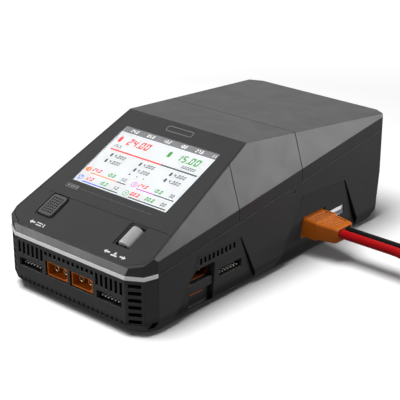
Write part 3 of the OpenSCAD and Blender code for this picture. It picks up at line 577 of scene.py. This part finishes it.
def button_marks(bm):
    plate(bm, arrow(-34.6, 5.1, -1), 0, MARK)
    plate(bm, box(-31.2, -26.6, 3.9, 4.6), 0, MARK)
    plate(bm, box(-31.2, -26.6, 5.5, 6.2), 0, MARK)
    plate(bm, box(-25.6, -24.7, 3.9, 6.2), 0, MARK)


def badge(bm):
    hoop(bm, rounded(-10, 10, 96.9, 101.3, 1.3), rounded(-9.6, 9.6, 97.3, 100.9, 0.9), 0, MARK)


def plaque(bm):
    hoop(bm, rounded(-37.0, -27.4, 35.7, 38.6, 0.6), rounded(-36.7, -27.7, 36.0, 38.3, 0.4), 0, MARK)
    for x in (-35.9, -33.6, -31.6, -29.4):
        plate(bm, box(x, x + 1.4, 36.5, 37.8), 0, MARK)


def small_print(bm):
    x = -25.4
    for i in range(19):
        length = (1.6, 2.6, 1.1, 3.0, 2.0)[i % 5]
        plate(bm, box(x, x + length, 36.8, 37.5), 0, MARK)
        x += length + 0.9


build("roller_marks", roller_marks, "white_plastic", "case", look="mark_white")
build("button_marks", button_marks, "white_plastic", "case", look="mark_white")
build("badge_outline", badge, "white_plastic", "case", look="mark_grey")
build("plaque", plaque, "white_plastic", "case", look="mark_grey")
build("small_print_dashes", small_print, "white_plastic", "case", look="mark_faint")

# ---- Knurled roller ----

ROLLER_X, ROLLER_S, ROLLER_R, ROLLER_L = 29.8, 19.3, 4.2, 12.6
ROLLER_PROUD, BORE_R, ROLLER_SIDES = 2.0, 1.0, 156
KNURL_STARTS, KNURL_DEPTH, KNURL_ROWS = 26, 0.22, 64
KNURL_DRIFT = 2.4 * math.pi  # groove pitches that a groove moves round over the roller's length


def on_roller(u, v, length):
    """A point about the roller's axis, and along it from the end nearest the front."""
    return on_panel(ROLLER_X + u, ROLLER_S - ROLLER_L / 2 + length, ROLLER_PROUD - ROLLER_R + v)


def knurl_r(a, length):
    """The roller's radius where two sets of crossing grooves meet."""
    drift = KNURL_DRIFT * length / ROLLER_L
    ridges = [abs(((KNURL_STARTS * a / (2 * math.pi) + way * drift) % 1) - 0.5) * 2 for way in (1, -1)]
    return ROLLER_R - KNURL_DEPTH * max(ridges) ** 2


def knurled_roller(bm):
    turns = [2 * math.pi * k / ROLLER_SIDES for k in range(ROLLER_SIDES)]

    def plain(r, length):
        return [on_roller(u, v, length) for u, v in circle(r, ROLLER_SIDES)]

    rings = [plain(ROLLER_R - 0.55, 0.0), plain(ROLLER_R - 0.08, 0.45)]
    for row in range(KNURL_ROWS + 1):
        length = 0.55 + (ROLLER_L - 1.1) * row / KNURL_ROWS
        rings.append([on_roller(knurl_r(a, length) * math.cos(a), knurl_r(a, length) * math.sin(a), length)
                      for a in turns])
    rings += [plain(ROLLER_R - 0.08, ROLLER_L - 0.45), plain(ROLLER_R - 0.55, ROLLER_L)]
    closed_loft(bm, rings + [plain(BORE_R, ROLLER_L), plain(BORE_R, 0.0)])


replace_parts(build("knurled_roller", knurled_roller, "roller_aluminium", "scroll_roller", 40), "scroll_roller")

# ---- Supply plug ----

INPUT_Y, INPUT_Z, PLUG_W, PLUG_H = 152.6, 19.0, 21.2, 12.0


def plug_ring(x, w, h, dip=0.0, r=1.3, rail=1.9):
    """One cross section of the plug, with its top and bottom panels sunk by dip."""
    y1, z1 = w / 2, h / 2
    turns = [math.radians(22.5 * k) for k in range(5)]
    quarter = [(y1 - r + r * math.cos(a), z1 - r + r * math.sin(a)) for a in turns]
    top = quarter + [(y1 - rail, z1), (y1 - rail - 0.25, z1 - dip)]
    half = top + [(-u, v) for u, v in reversed(top)]
    return [at(x, INPUT_Y + u, INPUT_Z + v) for u, v in half + [(-u, -v) for u, v in half]]


SHOULDER_X, PLUG_END_X = 63.4, 75.4  # where the tapered tail starts and ends
GROOVE, TAIL_GROOVE = (0.45, 0.9), (0.35, 0.85)  # depth of the grip panel and of the grooves in it
# x, width and height of the rounded end and of the opening round the wires
PLUG_MOUTH = ((76.2, 16.0, 9.0), (76.6, 15.0, 8.0), (76.6, 13.0, 7.2), (76.2, 12.2, 6.6), (73.6, 12.0, 6.4))


def tail_size(x):
    """Width and height of the plug's tapered tail."""
    t = (x - SHOULDER_X) / (PLUG_END_X - SHOULDER_X)
    return PLUG_W - 1.2 - 3.4 * t, PLUG_H - 1.2 - 1.2 * t


def body_size(x):
    """Width and height of the plug's straight body."""
    return PLUG_W, PLUG_H


def grip_groove(x, size, flank, floor, depths):
    """The four sections of one groove that starts at x, with sloping flanks and a flat floor."""
    panel, groove = depths
    places = (x, x + flank, x + flank + floor, x + 2 * flank + floor)
    return [plug_ring(place, *size(place), dip) for place, dip in zip(places, (panel, groove, groove, panel))]


def supply_plug(bm):
    rings = [plug_ring(45.4, PLUG_W - 1.0, PLUG_H - 1.0), plug_ring(46.0, PLUG_W, PLUG_H)]
    rings += [plug_ring(55.6, PLUG_W, PLUG_H), plug_ring(55.8, PLUG_W, PLUG_H, GROOVE[0])]
    for x in (57.3, 59.1, 60.9):
        rings += grip_groove(x, body_size, 0.15, 0.45, GROOVE)
    rings += [plug_ring(62.2, PLUG_W - 0.1, PLUG_H - 0.1, GROOVE[0]),
              plug_ring(62.4, PLUG_W - 0.1, PLUG_H - 0.1), plug_ring(63.1, PLUG_W - 0.3, PLUG_H - 0.3),
              plug_ring(SHOULDER_X, *tail_size(SHOULDER_X))]
    rings += [plug_ring(64.2, *tail_size(64.2)), plug_ring(64.4, *tail_size(64.4), TAIL_GROOVE[0])]
    for x in (65.6, 67.6, 69.6, 71.6):
        rings += grip_groove(x, tail_size, 0.2, 0.5, TAIL_GROOVE)
    rings += [plug_ring(73.4, *tail_size(73.4), TAIL_GROOVE[0]), plug_ring(73.6, *tail_size(73.6)),
              plug_ring(PLUG_END_X, *tail_size(PLUG_END_X))]
    rings += [plug_ring(*section) for section in PLUG_MOUTH]
    loft(bm, rings)


plug_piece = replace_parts(build("supply_plug", supply_plug, "connector_orange", "case", 35), "input_plug")
# No orange light is thrown on the wall behind the plug
plug_piece.visible_diffuse = False
plug_piece.visible_glossy = False

# ---- Screws ----


SCREW_SIDES = 48
CROSS_ARM, CROSS_HALF = 0.62, 0.16  # length and half width of the recess's arms, on a head of radius 1


def cross(a):
    """How far the cross recess reaches in the direction a, on a head of radius 1."""
    off = abs((a + math.pi / 4) % (math.pi / 2) - math.pi / 4)
    if math.tan(off) < CROSS_HALF / CROSS_ARM:
        return CROSS_ARM / math.cos(off)
    return CROSS_HALF / math.sin(off)


def screw(bm, place, head_r, head_h, shank_r, shank_l):
    """A pan-head screw with a cross recess; place takes u, v and the distance below the head's top."""
    angles = [2 * math.pi * k / SCREW_SIDES for k in range(SCREW_SIDES)]
    stations = [(None, head_h * 0.6), (None, 0.0), (head_r - 0.25, 0.0), (head_r, 0.25), (head_r, head_h),
                (shank_r, head_h), (shank_r, head_h + shank_l - 0.5), (shank_r * 0.5, head_h + shank_l)]
    rings = []
    for r, depth in stations:
        reach = [r or head_r * cross(a) for a in angles]
        rings.append([place(q * math.cos(a), q * math.sin(a), depth) for q, a in zip(reach, angles)])
    loft(bm, rings)


SCREW_SPOTS = ((-46.5, 30), (46.5, 30), (-44, 150), (44, 130), (-44, 196), (44, 208))


def base_screws(bm):
    for x, y in SCREW_SPOTS:
        screw(bm, lambda u, v, depth, x=x, y=y: at(x + u, y - v, 1.1 + depth), 2.9, 1.1, 1.25, 11.9)


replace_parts(build("base_screws", base_screws, "screw_steel", "case", 30), "case_screws")

REAR_FOOT, REAR_TOP = (218.7, 8.0), (224.5, 62.1)  # y and z of the rear wall's ends
REAR_TILT = math.atan2(REAR_TOP[0] - REAR_FOOT[0], REAR_TOP[1] - REAR_FOOT[1])


def on_rear(x, v, depth):
    """A point on the rear wall: across, up the wall and into the case."""
    return at(x, REAR_FOOT[0] + v * math.sin(REAR_TILT) - depth * math.cos(REAR_TILT),
              REAR_FOOT[1] + v * math.cos(REAR_TILT) + depth * math.sin(REAR_TILT))


FAN_X, FAN_V, FAN_DEPTH, FAN_SCREW_R = -20, 28, 2.3, 28.28


def grille_screws(bm):
    for a in (45, 135, 225, 315):
        x = FAN_X + FAN_SCREW_R * math.cos(math.radians(a))
        v = FAN_V + FAN_SCREW_R * math.sin(math.radians(a))
        screw(bm, lambda p, q, depth, x=x, v=v: on_rear(x + p, v + q, depth - 0.9), 3.0, 0.9, 1.7, 14.7)


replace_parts(build("grille_screws", grille_screws, "screw_steel", "case", 30), "fan_screws")


# Radius and depth pairs of the fan's hub and spindle
HUB = [(6.5, 1.7), (6.9, 1.5), (9.4, 1.5), (10.2, 1.8), (10.5, 2.6), (10.5, 12.8), (1.5, 12.8), (1.5, 15.0)]
BLADES, BLADE_STATIONS, CHORD_STEPS = 7, 8, 7
BLADE_FRONT, BLADE_DEPTH, BLADE_REAR = 1.7, 7.6, 12.4


def turned(bm, profile, place, sides=32):
    """A closed turned shape from radius and length pairs."""
    loft(bm, [[place(u, v, length) for u, v in circle(r, sides)] for r, length in profile])


def fan_wheel(bm):
    """The fan's hub with its rounded rim, its spindle and seven cambered, twisted blades."""
    def place(u, v, depth):
        return on_rear(FAN_X + u, FAN_V + v, FAN_DEPTH + depth)

    turned(bm, HUB, place, 56)
    for blade in range(BLADES):
        turn = 2 * math.pi * blade / BLADES
        rings = []
        for i in range(BLADE_STATIONS + 1):
            out = i / BLADE_STATIONS
            r = 10.2 + 11.9 * out
            pitch = math.radians(52 - 20 * out)
            chord = 8.6 + 1.8 * math.sin(math.pi * out / 1.4)
            lean = 0.10 * out
            upper, lower = [], []
            for k in range(CHORD_STEPS + 1):
                c = -0.5 + k / CHORD_STEPS
                camber = 1.1 * (1 - 4 * c * c)
                thick = 0.5 * math.sqrt(max(0.02, 1 - (2 * abs(c)) ** 3))
                for side, line in ((1, upper), (-1, lower)):
                    along, off = c * chord, camber + side * thick
                    w = along * math.cos(pitch) - off * math.sin(pitch)
                    depth = BLADE_DEPTH - along * math.sin(pitch) - off * math.cos(pitch)
                    a = turn + lean + w / r
                    held = min(BLADE_REAR, max(BLADE_FRONT, depth))
                    line.append(place(r * math.cos(a), r * math.sin(a), held))
            rings.append(upper + lower[::-1])
        loft(bm, rings)


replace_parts(build("fan_wheel", fan_wheel, "fan_black", "fan_rotor", 40), "fan_rotor")

# ---- Bullet ends of the lead ----


def bullet(tip):
    """The shape of a bullet plug whose solder cup sits on the lead's end."""
    x, y, z = tip
    profile = [(2.5, 0.0), (2.7, 0.3), (2.7, 8.7), (2.5, 9.0), (1.7, 9.0), (1.7, 9.6), (2.0, 10.2)]
    for waist in (12.0, 15.2, 18.4):
        profile += [(2.0, waist), (1.8, waist + 0.3), (1.8, waist + 0.8), (2.0, waist + 1.1)]
    profile += [(2.0, 21.0), (1.7, 21.6), (1.2, 22.0)]
    return lambda bm: turned(bm, profile, lambda u, v, length: at(x + u, y - length, z + v))


red_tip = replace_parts(build("red_bullet_end", bullet(RED_TAIL[-1]), "contact_gold", "case", 30), "red_bullet")
black_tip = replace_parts(build("black_bullet_end", bullet(BLACK_TAIL[-1]), "contact_gold", "case", 30),
                        "black_bullet")

# ---- Floor and light ----

FLOOR_HALF = 4
CLEAR_FROM, CLEAR_TO, FAR_GLOW = 0.35, 1.0, 0.95  # the floor brightens by itself beyond the light's reach
floor_mesh = bpy.data.meshes.new("floor")
corners = [(x * FLOOR_HALF, y * FLOOR_HALF, 0) for x, y in ((-1, -1), (1, -1), (1, 1), (-1, 1))]
floor_mesh.from_pydata(corners, [], [(0, 1, 2, 3)])
floor = bpy.data.objects.new("floor", floor_mesh)
bpy.context.scene.collection.objects.link(floor)
floor_shader = Shader("floor", (0.92, 0.92, 0.92), 0.6)
floor_tone = floor_shader.mix(floor_shader.noise(0.3), (0.91, 0.91, 0.91), (0.93, 0.93, 0.93))
floor_shader.link(floor_tone, "Base Color")
distance = floor_shader.node("VectorMath", {0: floor_shader.place()}, operation="LENGTH").outputs["Value"]
floor_shader.bsdf.inputs["Emission Color"].default_value = (1, 1, 1, 1)
floor_shader.link(floor_shader.ramp(distance, CLEAR_FROM, CLEAR_TO, 0.0, FAR_GLOW), "Emission Strength")
floor_mesh.materials.append(floor_shader.m)
floor.visible_diffuse = False
floor.visible_glossy = False

# The floor has a lamp of its own, so that the others throw no shadows on it
floor_only = bpy.data.collections.new("floor_only")
not_floor = bpy.data.collections.new("not_floor")
for group, state in ((floor_only, "INCLUDE"), (not_floor, "EXCLUDE")):
    group.objects.link(floor)
    group.collection_objects[0].light_linking.link_state = state


def lamp(name, place, target, size, power, lights=not_floor):
    """A soft box that faces the target; place, target and size in metres."""
    data = bpy.data.lights.new(name, "AREA")
    data.shape = "RECTANGLE"
    data.size, data.size_y = size
    data.energy = power
    thing = bpy.data.objects.new(name, data)
    thing.light_linking.receiver_collection = lights
    thing.location = place
    thing.rotation_mode = "QUATERNION"
    thing.rotation_quaternion = (Vector(target) - Vector(place)).to_track_quat("-Z", "Y")
    bpy.context.scene.collection.objects.link(thing)
    return thing


lamp("floor_light", (-0.12, -0.35, 1.4), (0.05, 0, 0), (0.85, 0.85), 29, floor_only)
top_lamp = lamp("top", (0.05, 0.0, 1.4), (0, 0, 0), (0.75, 0.75), 15)
top_lamp.visible_glossy = False  # kept out of the screen's reflection
lamp("front_left", (-1.0, -1.05, 0.14), (0, 0, 0.05), (0.8, 0.5), 11.5)
lamp("front", (0.3, -1.4, 0.30), (0.05, 0, 0.03), (0.5, 0.4), 3)
lamp("right_rear", (0.52, 0.44, 0.12), (0.05, 0.08, 0.04), (0.4, 0.22), 1.6)
lamp("right_high", (0.36, 0.34, 0.36), (0.05, 0.08, 0.04), (0.3, 0.3), 0.7)
lamp("left_rear", (-0.85, 1.0, 0.42), (0, 0.05, 0.08), (0.8, 0.35), 0.9)
lamp("upper_left", (-1.0, 0.1, 1.0), (0, -0.05, 0.05), (0.9, 0.9), 1.8)

AMBIENT = 0.12
world = bpy.data.worlds.new("studio")
bpy.context.scene.world = world
world.use_nodes = True
world.node_tree.nodes["Background"].inputs[0].default_value = (1, 1, 1, 1)
world.node_tree.nodes["Background"].inputs[1].default_value = AMBIENT
bpy.context.scene.view_settings.view_transform = "Standard"
